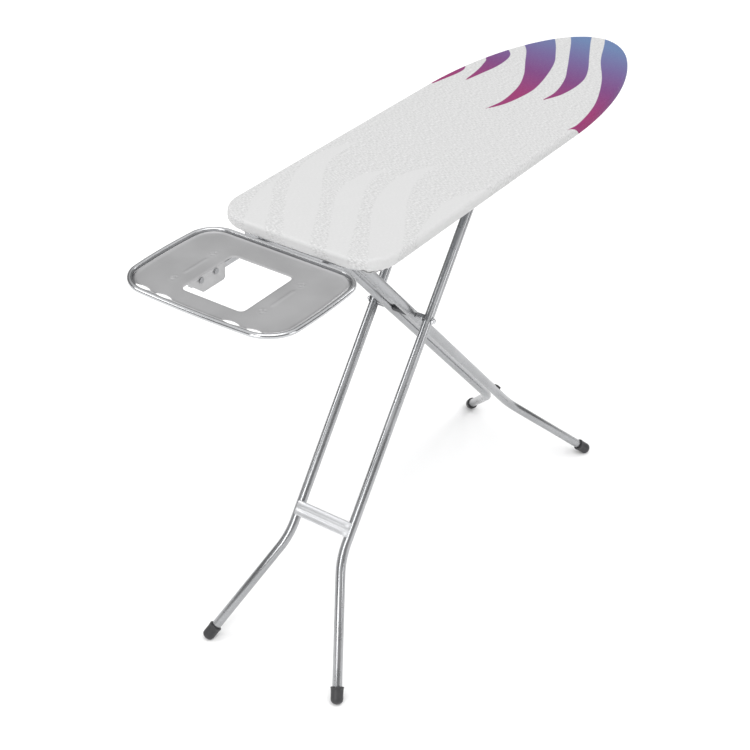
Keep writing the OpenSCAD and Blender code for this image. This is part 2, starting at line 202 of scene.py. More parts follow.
# ---- flat outlines, as numpy arrays of points ----
def along(points, step):
    """A closed loop resampled to an even step."""
    loop = np.vstack([points, points[:1]])
    run = np.concatenate([[0], np.cumsum(np.linalg.norm(np.diff(loop, axis=0), axis=1))])
    count = int(round(run[-1] / step))
    at = np.linspace(0, run[-1], count, endpoint=False)
    return np.stack([np.interp(at, run, loop[:, i]) for i in (0, 1)], axis=1)


def outward(loop):
    """Unit normals of a loop that runs clockwise seen from above."""
    ahead = np.roll(loop, -1, axis=0) - np.roll(loop, 1, axis=0)
    normal = np.stack([-ahead[:, 1], ahead[:, 0]], axis=1)
    return normal / np.linalg.norm(normal, axis=1, keepdims=True)


def board_outline(step):
    """The board's outline from the middle of the square end, clockwise seen from above."""
    corner = np.radians(np.linspace(180, 90, 24))
    turn = np.linspace(0, math.pi / 2, 160)
    nose = np.stack(
        [
            NOSE_START + (BOARD_L - NOSE_START) * np.sin(turn) ** (2 / NOSE_POWER),
            HALF_W * np.cos(turn),
        ],
        axis=1,
    )
    tail = np.stack([TAIL_R + TAIL_R * np.cos(corner), HALF_W - TAIL_R + TAIL_R * np.sin(corner)], axis=1)
    left = np.vstack([[[0, 0]], tail, nose[:-1], [[BOARD_L, 0]]])
    right = left[-2:0:-1] * [1, -1]
    loop = along(np.vstack([left, right]), step)
    return loop + [TAIL_X, 0]


def edge_distance(points, loop):
    """Signed distance of points to a closed loop, positive inside."""
    a, b = loop, np.roll(loop, -1, axis=0)
    best = np.full(len(points), 1e9)
    inside = np.zeros(len(points), bool)
    for p, q in zip(a, b):
        d = q - p
        t = np.clip(((points - p) @ d) / (d @ d + 1e-18), 0, 1)
        best = np.minimum(best, np.linalg.norm(points - p - t[:, None] * d, axis=1))
        cross = (p[1] > points[:, 1]) != (q[1] > points[:, 1])
        if cross.any():
            x = p[0] + (points[cross, 1] - p[1]) * d[0] / (d[1] if d[1] else 1e-12)
            inside[cross] ^= points[cross, 0] < x
    return np.where(inside, best, -best)


def filled(outer, holes, pitch, margin, extra=()):
    """An even triangle mesh of a flat shape: its points and its triangles, the outer loop's points first."""
    low, high = outer.min(0), outer.max(0)
    rows = np.arange(low[1], high[1], pitch * 0.866)
    columns = np.arange(low[0], high[0], pitch)
    grid = np.array([(x + (pitch / 2 if i % 2 else 0), y) for i, y in enumerate(rows) for x in columns])
    keep = edge_distance(grid, outer) > margin
    for hole in holes:
        keep &= edge_distance(grid, hole) < -margin
    loops = [outer, *holes, *extra]
    for loop in extra:
        keep &= np.abs(edge_distance(grid, loop)) > margin * 0.7
    points, edges = [], []
    for loop in loops:
        start = len(points)
        points += [Vector(p) for p in loop]
        edges += [(start + i, start + (i + 1) % len(loop)) for i in range(len(loop))]
    points += [Vector(p) for p in grid[keep]]
    verts, _, faces, *_ = delaunay_2d_cdt(points, edges, [], 1, 1e-9)
    flat = np.array([tuple(v) for v in verts])
    tris = np.array(faces)
    middle = flat[tris].mean(axis=1)
    for hole in holes:
        kept = edge_distance(middle, hole) < 0
        tris, middle = tris[kept], middle[kept]
    return flat, tris


def curve_through(points, steps=8):
    """A smooth line through a few points, in metres from millimetres."""
    p = np.array([points[0], *points, points[-1]], float) * MM
    t = (np.arange(steps) / steps)[:, None]
    line = []
    for a, b, c, d in zip(p, p[1:], p[2:], p[3:]):
        bend = (2 * a - 5 * b + 4 * c - d) * t**2 + (3 * b - a - 3 * c + d) * t**3
        line.append(0.5 * (2 * b + (c - a) * t + bend))
    return np.vstack([*line, p[-2]])


def skin(name, rows, closed_rows=True, closed_section=False):
    """A skin over rows of equally many 3-D points."""
    n = len(rows[0])
    pairs = list(zip(range(len(rows)), range(1, len(rows))))
    if closed_section:
        pairs.append((len(rows) - 1, 0))
    steps = [(i, (i + 1) % n) for i in range(n if closed_rows else n - 1)]
    faces = [(a * n + i, a * n + j, b * n + j, b * n + i) for a, b in pairs for i, j in steps]
    return from_points(name, np.vstack(rows), faces)


def turned(name, section, centre, steps):
    """A half section, as (along X, out from the axis) points, spun about an axis along X."""
    x, y, z = centre
    points = [(x + a, y, z + b) for a, b in section]
    obj = from_points(name, points, edges=[(i, i + 1) for i in range(len(section) - 1)])
    with editing(obj, "VERT"):
        bpy.ops.mesh.spin(steps=steps, angle=2 * math.pi, center=centre, axis=(1, 0, 0))
    return obj


def leg_place(leg, hand=1):
    """The matrix of a leg's own frame: X runs from the crossing pivot to the foot, Z is its upper side."""
    angle = math.atan2(FOOT_DROP, LEGS[leg].run)
    if leg == "narrow":
        turn = Matrix.Rotation(angle, 4, "Y")
    else:
        turn = Matrix.Rotation(-angle, 4, "Y") @ Matrix.Scale(-1, 4, (1, 0, 0))
    return Matrix.Translation(PIVOT) @ turn @ Matrix.Scale(hand, 4, (0, 1, 0))


def foot_along(leg):
    """The distance from the crossing pivot to a leg's feet, along the leg."""
    return math.hypot(FOOT_DROP, LEGS[leg].run)


def leg_splay(leg):
    """The angle by which a leg's tubes bend outwards to their feet."""
    return math.atan2(FOOT_HALF - LEGS[leg].half, foot_along(leg) - LEGS[leg].bend_at)


# ---- materials ----
def add(tree, kind, links=(), stops=(), **settings):
    """Adds a shader node with its properties, inputs, (socket, other node, output) links and colour stops."""
    new = tree.nodes.new(kind)
    for i, (at, colour) in enumerate(stops):
        item = new.color_ramp.elements[i] if i < 2 else new.color_ramp.elements.new(at)
        item.position, item.color = at, colour
    for key, value in settings.items():
        if hasattr(new, key):
            setattr(new, key, value)
        else:
            new.inputs[key.replace("_", " ")].default_value = value
    for socket, other, output in links:
        tree.links.new(other.outputs[output], new.inputs[socket])
    return new


def surface(name, **settings):
    """A new material, its node tree and its Principled shader with constants set on its own sockets."""
    material = bpy.data.materials.new(name)
    material.use_nodes = True
    tree = material.node_tree
    shader = tree.nodes["Principled BSDF"]
    for key, value in settings.items():
        shader.inputs[key.replace("_", " ")].default_value = value
    return material, tree, shader


def dress(tree, shader, tint, gloss=None, relief=None):
    """Links a colour, a gloss and a relief to the shader."""
    for node, output, socket in (
        (tint, "Color", "Base Color"),
        (gloss, "Result", "Roughness"),
        (relief, "Normal", "Normal"),
    ):
        if node:
            tree.links.new(node.outputs[output], shader.inputs[socket])


def darker(colour, share):
    """A colour at a share of its own brightness."""
    return [c * share for c in colour[:3]] + [1]


def satin_steel(name, colour, low, metallic, roughness, grain_mm, bump, brushed=(1, 1, 1)):
    """Metal whose colour, gloss and surface vary a little, with an optional brushing direction."""
    material, tree, shader = surface(name, Metallic=metallic)
    place = add(tree, "ShaderNodeTexCoord")
    mapping = add(tree, "ShaderNodeMapping", [("Vector", place, "Object")], Scale=brushed)
    fine = add(tree, "ShaderNodeTexNoise", [("Vector", mapping, "Vector")], Scale=1000 / grain_mm, Detail=3.0)
    # The clouds of colour and gloss are about 70 mm across.
    cloudy = add(tree, "ShaderNodeTexNoise", [("Vector", place, "Object")], Scale=14.0, Detail=4.0)
    stops = [(0.3, darker(colour, low)), (0.7, colour)]
    tint = add(tree, "ShaderNodeValToRGB", [("Fac", cloudy, "Fac")], stops)
    spread = {"From_Min": 0.3, "From_Max": 0.7, "To_Min": roughness * 0.85, "To_Max": roughness * 1.2}
    gloss = add(tree, "ShaderNodeMapRange", [("Value", cloudy, "Fac")], **spread)
    depth = grain_mm * MM * 0.1
    relief = add(tree, "ShaderNodeBump", [("Height", fine, "Fac")], Strength=bump, Distance=depth)
    dress(tree, shader, tint, gloss, relief)
    return material


def moulded(name, colour, low, roughness, grain_mm, bump):
    """Plastic or rubber with the fine texture of its mould."""
    material, tree, shader = surface(name, Metallic=0.0, IOR=1.5)
    place = add(tree, "ShaderNodeTexCoord")
    grain = add(tree, "ShaderNodeTexVoronoi", [("Vector", place, "Object")], Scale=1000 / grain_mm)
    cloudy = add(tree, "ShaderNodeTexNoise", [("Vector", place, "Object")], Scale=60.0, Detail=5.0)
    stops = [(0.35, darker(colour, low)), (0.7, colour)]
    tint = add(tree, "ShaderNodeValToRGB", [("Fac", cloudy, "Fac")], stops)
    low_gloss, high_gloss = roughness * 0.8, roughness * 1.15
    gloss = add(tree, "ShaderNodeMapRange", [("Value", cloudy, "Fac")], To_Min=low_gloss, To_Max=high_gloss)
    relief = add(tree, "ShaderNodeBump", [("Height", grain, "Distance")], Strength=bump, Distance=0.0002)
    dress(tree, shader, tint, gloss, relief)
    return material


def printed_cotton(colours):
    """Plain-woven cotton with a pigment print: a matt, faintly speckled cloth with crisp coloured waves."""
    material, tree, shader = surface(
        "printed_plain_weave_cotton", Metallic=0.0, Roughness=0.92, Sheen_Weight=0.04, Sheen_Roughness=0.5
    )
    shader.inputs["Specular IOR Level"].default_value = 0.15
    cloth = add(tree, "ShaderNodeUVMap", uv_map="flat_cut")
    # Threads are 0.6 mm apart; they are drawn 1.8 mm apart, because finer ones vanish at this size.
    thread = 2 * math.pi / (1.8 * MM) / 20
    yarn = {"Scale": thread, "Distortion": 2.5, "Detail": 2.0, "Detail_Scale": 6.0}
    warp, weft = (
        add(tree, "ShaderNodeTexWave", [("Vector", cloth, "UV")], bands_direction=way, **yarn) for way in "XY"
    )
    weave = add(tree, "ShaderNodeMath", [(0, warp, "Fac"), (1, weft, "Fac")], operation="MULTIPLY")
    # Slubs are thick places in the yarn, 2 to 6 mm long, that run across the board.
    slub_place = add(tree, "ShaderNodeMapping", [("Vector", cloth, "UV")], Scale=(3.2, 1, 1))
    thick_yarn = {"Scale": 170.0, "Detail": 3.0, "Roughness": 0.65}
    slub = add(tree, "ShaderNodeTexNoise", [("Vector", slub_place, "Vector")], **thick_yarn)
    stops = [(0.32, colours.speck), (0.5, colours.ground), (0.68, colours.cotton)]
    ground = add(tree, "ShaderNodeValToRGB", [("Fac", slub, "Fac")], stops)
    # Pale waves from the square end: plain, with hardly a speck of the ground.
    pale_at = add(tree, "ShaderNodeAttribute", attribute_name="pale_wave")
    soft_edge = {"From_Min": -0.0015, "From_Max": 0.0015, "To_Max": 0.85}
    pale_edge = add(tree, "ShaderNodeMapRange", [("Value", pale_at, "Fac")], **soft_edge)
    links = [("Fac", pale_edge, "Result"), ("Color1", ground, "Color")]
    with_pale = add(tree, "ShaderNodeMixRGB", links, Color2=colours.pale)
    # Coloured waves: the dye runs from magenta at the tips to blue at the nose.
    place = add(tree, "ShaderNodeTexCoord")
    where = add(tree, "ShaderNodeSeparateXYZ", [("Vector", place, "Object")])
    waves_span = {"From_Min": TAIL_X + 0.70, "From_Max": TAIL_X + 1.12}
    run = add(tree, "ShaderNodeMapRange", [("Value", where, "X")], **waves_span)
    stops = [(0.15, colours.magenta), (0.95, colours.blue), (0.42, colours.plum), (0.66, colours.violet)]
    dye = add(tree, "ShaderNodeValToRGB", [("Fac", run, "Result")], stops)
    colour_at = add(tree, "ShaderNodeAttribute", attribute_name="colour_wave")
    crisp_edge = {"From_Min": -0.0006, "From_Max": 0.0006, "To_Max": 1.0}
    colour_edge = add(tree, "ShaderNodeMapRange", [("Value", colour_at, "Fac")], **crisp_edge)
    thin_dye = {"From_Min": 0.3, "From_Max": 0.8, "To_Max": 0.06}
    dye_break = add(tree, "ShaderNodeMapRange", [("Value", slub, "Fac")], **thin_dye)
    links = [("Fac", dye_break, "Result"), ("Color1", dye, "Color")]
    dyed = add(tree, "ShaderNodeMixRGB", links, Color2=colours.cotton)
    links = [("Fac", colour_edge, "Result"), ("Color1", with_pale, "Color"), ("Color2", dyed, "Color")]
    printed = add(tree, "ShaderNodeMixRGB", links)
    height = add(tree, "ShaderNodeMath", [(0, weave, 0), (1, slub, "Fac")], operation="ADD")
    relief = add(tree, "ShaderNodeBump", [("Height", height, 0)], Strength=0.35, Distance=0.0004)
    dress(tree, shader, printed, relief=relief)
    return material


def foam(colours):
    """Open-cell polyurethane foam: matt, cream, full of small cells, with painted shade darkening their pits.
    """
    material, tree, shader = surface("open_cell_polyurethane_foam", Metallic=0.0, Roughness=0.95, IOR=1.45)
    place = add(tree, "ShaderNodeTexCoord")
    # Cells are 1.6 mm across.
    cells = add(tree, "ShaderNodeTexVoronoi", [("Vector", place, "Object")], Scale=620.0)
    # Painted shade: the colour darkens towards each cell's middle, where the relief sinks into a pit.
    stops = [(0.1, darker(colours.foam, 0.55)), (0.5, colours.foam)]
    tint = add(tree, "ShaderNodeValToRGB", [("Fac", cells, "Distance")], stops)
    relief = add(tree, "ShaderNodeBump", [("Height", cells, "Distance")], Strength=0.6, Distance=0.0008)
    dress(tree, shader, tint, relief=relief)
    return material


def galvanised(colours):
    """Hot-dip galvanised sheet: grey zinc crystals a few millimetres across, softly shining."""
    material, tree, shader = surface("galvanised_steel_sheet", Metallic=0.9)
    place = add(tree, "ShaderNodeTexCoord")
    # Spangle is 6 mm across.
    spangle = add(tree, "ShaderNodeTexVoronoi", [("Vector", place, "Object")], Scale=160.0)
    stops = [(0.1, darker(colours.zinc, 0.60)), (0.9, colours.zinc)]
    tint = add(tree, "ShaderNodeValToRGB", [("Fac", spangle, "Color")], stops)
    gloss = add(tree, "ShaderNodeMapRange", [("Value", spangle, "Color")], To_Min=0.36, To_Max=0.52)
    dress(tree, shader, tint, gloss)
    return material


MATERIALS = {}


# ---- settings a user would change ----
def colour(name, code, description):
    """A colour setting from an sRGB hex code."""
    return FloatVectorProperty(
        name=name, description=description, default=linear(code), size=4, min=0, max=1, subtype="COLOR"
    )


def length(name, default, description):
    """A length setting, in metres."""
    return FloatProperty(name=name, description=description, default=default, unit="LENGTH")


class IRB_Sizes(bpy.types.PropertyGroup):
    """Sizes of the finished surfaces."""

    cloth_step: length("Cloth step", 0.0038, "Spacing of the cloth's points")
    edge_round: length("Edge radius", 0.0075, "Radius of the cover's top edge over the pad")
    cover_side: length("Cover side", 0.020, "Height of the cover's side")
    gather: length("Gathers", 0.0011, "Height of the hem's gathers under the edge")
    rim_radius: length("Rim radius", 0.0045, "Radius of the iron rest's rolled rim")
    sheet_thickness: length("Rest sheet", 0.0013, "Thickness of the iron rest's sheet")
    brace_width: length("Brace width", 0.030, "Width of the wide leg's pressed brace")
    cap_radius: length("Cap radius", 0.013, "Radius of a foot cap at its mouth")
    board_fullness: length("Crown", 0.0008, "How far the padded top swells at its middle")


class IRB_Colours(bpy.types.PropertyGroup):
    """Colours of the finishes."""

    speck: colour("Specks", "#B4B4B4", "The darkest specks of the cloth's printed ground")
    ground: colour("Ground", "#C7C7C7", "The cloth's printed ground")
    cotton: colour("Cotton", "#DADADA", "The bare cotton between the specks")
    pale: colour("Pale waves", "#CBCBCB", "The plain pale waves from the square end")
    magenta: colour("Wave tips", "#8A2562", "The coloured waves at their tips")
    plum: colour("Wave plum", "#703572", "The coloured waves after their tips")
    violet: colour("Wave violet", "#665488", "The coloured waves before the nose")
    blue: colour("Wave roots", "#5E759E", "The coloured waves at the nose")
    foam: colour("Foam", "#EDE6CF", "The foam pad")
    zinc: colour("Zinc", "#C6C9CC", "The galvanised top")
    paint: colour("Silver paint", "#ABACAE", "The paint of the legs, rails and cross bars")
    # A lighter copy of the silver paint: painted light on the brace.
    brace: colour("Brace paint", "#D0D1D3", "The paint of the pressed brace")
    plate: colour("Zinc plate", "#DADBDD", "The plated rods and nuts")
    wire: colour("Wire", "#C4C5C7", "The iron rest's bright rim")
    sheet: colour("Rest sheet", "#B2B2B3", "The iron rest's lacquered sheet")
    spring: colour("Spring", "#6C7076", "The lever's spring")
    phosphate: colour("Phosphate", "#67686A", "The dark bolts, washers and pawl")
    bolts: colour("Bolts", "#A2A3A5", "The iron rest's bolts")
    caps: colour("Caps", "#38383A", "The foot caps")
    nylon: colour("Nylon", "#2C2C2E", "The slide parts and the lever's grip")
    rubber: colour("Rubber", "#1D1D1D", "The bumpers")


def strength(name, default, description):
    return FloatProperty(name=name, description=description, default=default)


class IRB_Studio(bpy.types.PropertyGroup):
    """Light and floor."""

    floor_colour: colour("Floor", "#FBFBFB", "Colour of the floor")
    key_power: strength("Key light", 1.08, "Strength of the diffused overhead light")
    side_power: strength("Side light", 20, "Power of a side softbox, in watts")
    room_light: strength("Ceiling", 1.05, "Brightness of the ceiling")
    wall_light: strength("Walls", 0.20, "Brightness of the walls")


# ---- the finishes ----
# key, name, colour, its darkest share, metallic, roughness, grain in millimetres, bump and brushing
STEELS = (
    # Silver polyester powder paint on drawn steel tube: satin, with a faint orange peel.
    ("silver_paint", "silver_powder_paint", "paint", 0.85, 0.90, 0.26, 2.5, 0.015),
    # The same paint on the pressed brace, made lighter all over: painted light, a lit copy of the tubes'
    # paint.
    ("brace_paint", "silver_paint_on_bright_sheet", "brace", 0.90, 0.75, 0.34, 2.5, 0.04),
    # Bright zinc plate on turned and drawn parts: clear reflections, slightly clouded.
    ("bright_zinc", "bright_zinc_plate", "plate", 0.82, 1.0, 0.17, 1.2, 0.02),
    # Polished and clear-lacquered steel wire: mirror-like bands of light and dark.
    ("lacquered_wire", "lacquered_bright_wire", "wire", 0.85, 1.0, 0.20, 1.5, 0.01),
    # Rolled sheet under silver lacquer: an even soft grey with fine rolling lines along it.
    ("lacquered_sheet", "lacquered_rolled_sheet", "sheet", 0.91, 0.6, 0.40, 1.2, 0.08, (0.08, 1, 1)),
    # Blued spring steel: darker, slightly glossy.
    ("blued_spring", "blued_spring_steel", "spring", 0.65, 1.0, 0.3, 0.8, 0.06),
    # Phosphated steel on bolts and washers: dark and dull.
    ("phosphated", "phosphated_steel", "phosphate", 0.60, 0.9, 0.42, 0.7, 0.15),
    # Passivated zinc on bolt heads: mid grey, nearly matt.
    ("dull_zinc", "passivated_zinc_bolts", "bolts", 0.76, 0.8, 0.45, 0.7, 0.12),
)
# key, name, colour, its darkest share, roughness, grain in millimetres and bump
MOULDINGS = (
    # Injection-moulded polypropylene of the foot caps: charcoal, half-matt.
    ("cap_plastic", "moulded_polypropylene_caps", "caps", 0.68, 0.48, 0.7, 0.3),
    # Moulded nylon of the slide parts and grip: black with a light sheen.
    ("black_nylon", "moulded_black_nylon", "nylon", 0.54, 0.38, 0.6, 0.25),
    # Moulded rubber of the bumpers: dead black.
    ("rubber", "moulded_black_rubber", "rubber", 0.50, 0.7, 0.5, 0.4),
)


class IRB_OT_finishes(bpy.types.Operator):
    """Makes every finish of the board from the colour settings"""

    bl_idname = "irb.finishes"
    bl_label = "Finishes"

    def execute(self, context):
        colours = context.scene.irb_colours
        MATERIALS["cloth"] = printed_cotton(colours)
        MATERIALS["foam"] = foam(colours)
        MATERIALS["zinc"] = galvanised(colours)
        for table, maker in ((STEELS, satin_steel), (MOULDINGS, moulded)):
            for key, name, colour_name, *values in table:
                MATERIALS[key] = maker(name, getattr(colours, colour_name), *values)
        return {"FINISHED"}


# ---- the studio ----
# name, place, point it faces, size, and share of the side light's power
SOFTBOXES = (
    ("side_softbox", (-2.4, 2.4, 2.4), (0, 0, 0.6), 1.1, 1.0),
    ("front_softbox", (-3.8, -0.2, 1.6), (0, 0, 0.7), 1.4, 1.9),
    ("right_softbox", (0.2, -3.6, 1.5), (0.1, 0, 0.7), 1.4, 0.9),
    ("far_softbox", (3.2, -1.6, 2.8), (0.2, 0, 0.6), 1.2, 1.0),
)
CAMERA_PLACE = (-2.3325, -1.3920, 2.1917)
CAMERA_TURN = (56.856, -1.793, -56.122)
LENS_MM, SENSOR_MM = 76.92, 36


class IRB_OT_stage(bpy.types.Operator):
    """Lays the floor, hangs the soft lights and sets the camera"""

    bl_idname = "irb.stage"
    bl_label = "Studio"

    def execute(self, context):
        studio = context.scene.irb_studio
        bpy.ops.object.select_all(action="DESELECT")
        bpy.ops.mesh.primitive_plane_add(size=30, location=(4, 2, 0))
        floor = context.object
        floor.name = "studio_floor"
        paper, tree, shader = surface("matt_background_paper", Roughness=0.95, Metallic=0.0)
        shader.inputs["Specular IOR Level"].default_value = 0.1
        place = add(tree, "ShaderNodeTexCoord")
        fibre = add(tree, "ShaderNodeTexNoise", [("Vector", place, "Object")], Scale=3.0, Detail=2.0)
        stops = [(0.3, darker(studio.floor_colour, 0.99)), (0.7, studio.floor_colour)]
        dress(tree, shader, add(tree, "ShaderNodeValToRGB", [("Fac", fibre, "Fac")], stops))
        floor.data.materials.append(paper)
        for name, place, target, size, share in SOFTBOXES:
            light = bpy.data.lights.new(name, "AREA")
            light.shape, light.size, light.energy = "SQUARE", size, studio.side_power * share
            facing = (Vector(target) - Vector(place)).to_track_quat("-Z", "Y").to_euler()
            self.put(name, light, place, facing)
        key = bpy.data.lights.new("diffused_key", "SUN")
        key.energy, key.angle = studio.key_power, math.radians(50)
        self.put("diffused_key", key, (0, 0, 0), (math.radians(14), math.radians(-12), 0))
        self.room(context, studio)
        context.scene.view_settings.view_transform = "Standard"
        lens = bpy.data.cameras.new("view_camera")
        lens.lens, lens.sensor_width, lens.clip_end = LENS_MM, SENSOR_MM, 60
        lens.dof.use_dof = False
        turn = [math.radians(a) for a in CAMERA_TURN]
        context.scene.camera = self.put("view_camera", lens, CAMERA_PLACE, turn)
        return {"FINISHED"}

    def put(self, name, data, place, turn):
        obj = bpy.data.objects.new(name, data)
        obj.location, obj.rotation_euler = place, turn
        bpy.context.scene.collection.objects.link(obj)
        return obj

    def room(self, context, studio):
        """A bright ceiling over darker walls, which give bare metal its dark bands."""
        world = bpy.data.worlds.new("studio_room")
        context.scene.world = world
        world.use_nodes = True
        tree = world.node_tree
        way = add(tree, "ShaderNodeSeparateXYZ", [("Vector", add(tree, "ShaderNodeTexCoord"), "Generated")])
        heights = {"From_Min": 0.25, "From_Max": 0.80}
        lights = {"To_Min": studio.wall_light, "To_Max": studio.room_light}
        glow = add(
            tree,
            "ShaderNodeMapRange",
            [("Value", way, "Z")],
            interpolation_type="SMOOTHSTEP",
            **heights,
            **lights,
        )
        back = tree.nodes["Background"]
        back.inputs["Color"].default_value = (1, 1, 1, 1)
        tree.links.new(glow.outputs["Result"], back.inputs["Strength"])


# ---- the print on the cover: waves as outlines in millimetres from the square end ----
COLOUR_WAVES = [
    # each wave: one edge from its tip to its root, then the other edge back to the tip
    ([(698, 162), (735, 156), (775, 150), (805, 151), (832, 165)], [(835, 190), (760, 192), (712, 180)]),
    (
        [(744, 119), (800, 124), (848, 133), (884, 148), (905, 200)],
        [(1000, 190), (958, 138), (925, 112), (870, 104), (805, 110)],
    ),
    (
        [(650, 14), (710, 6), (785, 15), (850, 37), (915, 70), (982, 106), (1030, 150)],
        [(1120, 120), (1059, 77), (1000, 44), (937, 15), (840, -10), (775, -16), (700, -6)],
    ),
    (
        [(755, -54), (810, -57), (880, -41), (935, -18), (1000, 12), (1091, 56), (1135, 90)],
        [(1180, 45), (1111, 18), (1030, -20), (950, -58), (890, -75), (815, -74)],
    ),
    (
        [(660, -159), (700, -165), (770, -156), (838, -138), (929, -101), (1018, -53), (1107, -16)]
        + [(1185, 20)],
        [(1250, -60), (1170, -150), (1060, -190), (900, -225), (770, -225), (712, -192), (686, -171)],
    ),
]
PALE_WAVES = [
    (
        [(190, 158), (150, 152), (118, 149), (71, 137), (30, 115), (-30, 85)],
        [(-30, 30), (10, 62), (71, 97), (135, 138)],
    ),
    (
        [(388, 123), (323, 150), (251, 153), (164, 123), (86, 76), (14, 27), (-30, 0)],
        [(-30, -65), (10, -31), (89, 12), (166, 56), (232, 99), (290, 122), (345, 127)],
    ),
    (
        [(318, 13), (277, 38), (224, 43), (171, 28), (105, -9), (19, -60), (-30, -90)],
        [(-30, -135), (5, -109), (89, -66), (160, -28), (228, 5), (277, 16)],
    ),
    (
        [(398, -54), (321, -19), (249, -22), (179, -44), (94, -94), (10, -148), (-30, -175)],
        [(0, -215), (68, -174), (142, -133), (225, -84), (298, -54), (355, -45)],
    ),
    (
        [(365, -172), (335, -155), (279, -136), (222, -141), (154, -156), (120, -172)],
        [(150, -215), (300, -215)],
    ),
]


def wave_distance(flat, waves):
    """How far inside the nearest wave each point of the flat cut lies."""
    best = np.full(len(flat), -1.0)
    for up, back in waves:
        loop = np.vstack([curve_through(up), curve_through(back + [up[0]])]) + [TAIL_X, 0]
        low, high = loop.min(0) - 0.02, loop.max(0) + 0.02
        near = ((flat > low) & (flat < high)).all(axis=1)
        if near.any():
            best[near] = np.maximum(best[near], edge_distance(flat[near], loop))
    return best


# The cover's lower edge and hem: the edge's radius, where the flat run under it starts, how far that run
# reaches, how far it falls below the side, the roll of its end, and the gathers' spacing and drift
LOWER_R, HEM_START, HEM_REACH, HEM_FALL, HEM_ROLL = 0.003, 0.0082, 0.0095, 0.0065, 0.0014
GATHER_PITCH, GATHER_DRIFT = 0.0165, 0.093


class IRB_OT_cover(bpy.types.Operator):
    """Stretches the printed cotton cover over the pad and gathers its hem under the edge"""

    bl_idname = "irb.cover"
    bl_label = "Cover"

    def execute(self, context):
        sizes = context.scene.irb_sizes
        step, r = sizes.cloth_step, sizes.edge_round
        loop = board_outline(step)
        normal = outward(loop)
        n = len(loop)
        flat, tris = filled(loop - normal * r, [], step, step * 0.6)
        if len(flat) < n or np.abs(flat[:n] - (loop - normal * r)).max() > 1e-5:
            raise RuntimeError("the cover's flat mesh lost its outline")
        points, uv = [self.crown(sizes, flat, loop)], [flat]
        # the hem tucks under everywhere but at the square end, where the rest's strip is bolted on
        from_tail = loop[:, 0] - TAIL_X
        tuck = smoothstep(0.010, TAIL_R, from_tail) * HEM_REACH
        low_tuck = smoothstep(0.001, 0.02, from_tail)
        run = np.arange(n) * step * 2 * math.pi
        gathers = np.sin(run / GATHER_PITCH + 1.6 * np.sin(run / GATHER_DRIFT)) * sizes.gather * low_tuck
        rows = self.side_and_hem(r, sizes.cover_side)
        for inset, drop, deep, reach, out in rows:
            pull = min(1, deep / HEM_FALL) ** 2
            z = TOP_Z - drop - deep * low_tuck + gathers * pull
            points.append(np.column_stack([loop - normal * (inset + tuck * reach)[:, None], z]))
            uv.append(loop + normal * (out - r))
        # the hem's turned edge, as a small roll
        end_inset, end_drop, end_fall, _, end_out = rows[-1]
        for a in np.radians((45, 90, 135, 180, 225, 270)):
            roll = HEM_ROLL * (1 - math.cos(a)) * (0.15 + 0.85 * low_tuck)
            inset = end_inset + tuck + HEM_ROLL * math.sin(a)
            z = TOP_Z - end_drop - end_fall * low_tuck - roll + gathers
            points.append(np.column_stack([loop - normal * inset[:, None], z]))
            uv.append(loop + normal * (end_out + HEM_ROLL * a - r))
        starts = [0] + [len(flat) + i * n for i in range(len(points) - 1)]
        sides = [
            (a + i, b + i, b + (i + 1) % n, a + (i + 1) % n)
            for a, b in zip(starts[:-1], starts[1:])
            for i in range(n)
        ]
        cover = from_points("cover_cloth", np.vstack(points), [*tris, *sides])
        self.mark_print(cover.data, np.vstack(uv))
        finish_piece(cover, "printed_cover", "cover_fabric", "cloth", "board", "cover", 60, recalc=False)
        face_up(cover)
        # The cut is the board's outline grown by the side and the hem.
        return {"FINISHED"}

    def crown(self, sizes, flat, loop):
        """The top's points: a low swell over the pad with faint unevenness."""
        x, y = flat.T
        uneven = 0.00022 * np.sin(x * 61 + 2 * np.sin(y * 37)) * np.sin(y * 83 + 1.3 * np.sin(x * 29))
        inwards = smoothstep(sizes.edge_round, 0.09, edge_distance(flat, loop))
        return np.column_stack([x, y, TOP_Z - 0.0002 + (sizes.board_fullness + uneven) * inwards])

    def side_and_hem(self, r, side):
        """Rows down the side: inset, drop, extra drop at the hem, reach under, and length of cloth."""
        lower, turn = LOWER_R, math.pi / 2
        over = turn * np.arange(1, 9) / 8
        rows = [(r * (1 - math.sin(a)), r * (1 - math.cos(a)), 0, 0, r * a) for a in over]
        for t in (0.25, 0.5, 0.75, 1):
            drop = r + (side - r - lower) * t
            rows.append((-0.0005 * math.sin(math.pi * t), drop, 0, 0, r * turn + drop - r))
        out = r * turn + side - r - lower
        for a in turn * np.arange(1, 5) / 4:
            rows.append((lower * (1 - math.cos(a)), side - lower * (1 - math.sin(a)), 0, 0, out + lower * a))
        out += lower * turn
        slope = 0.0075
        for t, deep in ((0.35, 0.35), (0.7, 0.75), (1, 1)):
            rows.append((lower + (HEM_START - lower) * t, side, 0.0062 * deep, 0.0003, out + slope * t))
        for t in (0.25, 0.5, 0.75, 1):
            rows.append((HEM_START, side, HEM_FALL + 0.0006 * t, t, out + slope + HEM_REACH * t))
        return rows

    def mark_print(self, mesh, uv):
        """The flat cut as the cloth's own UV map, and its place in each kind of wave."""
        corner = np.zeros(len(mesh.loops), np.int32)
        mesh.loops.foreach_get("vertex_index", corner)
        mesh.uv_layers.new(name="flat_cut").data.foreach_set("uv", uv[corner].astype(np.float32).ravel())
        for name, waves in (("colour_wave", COLOUR_WAVES), ("pale_wave", PALE_WAVES)):
            inside = wave_distance(uv, waves).astype(np.float32)
            mesh.attributes.new(name, "FLOAT", "POINT").data.foreach_set("value", inside)


